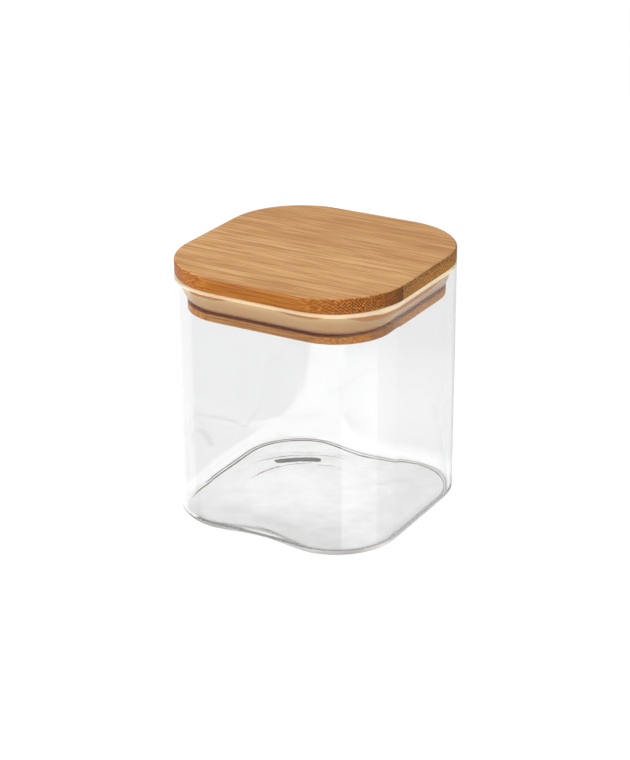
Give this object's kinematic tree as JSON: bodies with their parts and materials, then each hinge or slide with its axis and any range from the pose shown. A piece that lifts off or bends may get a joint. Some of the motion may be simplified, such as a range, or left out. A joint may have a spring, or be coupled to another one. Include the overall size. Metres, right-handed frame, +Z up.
{
  "type": "glass storage jar",
  "caption": "Square clear glass storage jar with rounded corners and a recessed base, closed by a bamboo lid whose plug carries a silicone lip seal.",
  "frame": {"origin": "centre of the base, on the plane that the foot ring stands on", "axes": "+Z up through the mouth and lid; +X along the grain of the lid, so the heel draws inwards on the -Y and +Y sides"},
  "size_m": [0.1, 0.1, 0.1091],
  "materials": {
    "clear_glass": "polished clear glass, faint green at the rim",
    "bamboo_board": "sanded and lightly oiled laminated bamboo, satin",
    "bamboo_plug": "sanded bare laminated bamboo, satin",
    "clear_silicone": "translucent soft silicone, glossy"
  },
  "bodies": {
    "jar": {"glass_jar": "clear_glass"},
    "lid": {"lid_board": "bamboo_board", "lid_plug": "bamboo_plug", "seal_ring": "clear_silicone"}
  },
  "joints": [
    {"name": "lid_lift", "type": "slide", "parent": "jar", "child": "lid", "axis": [0, 0, 1], "range_m": [0, 0.05]}
  ]
}
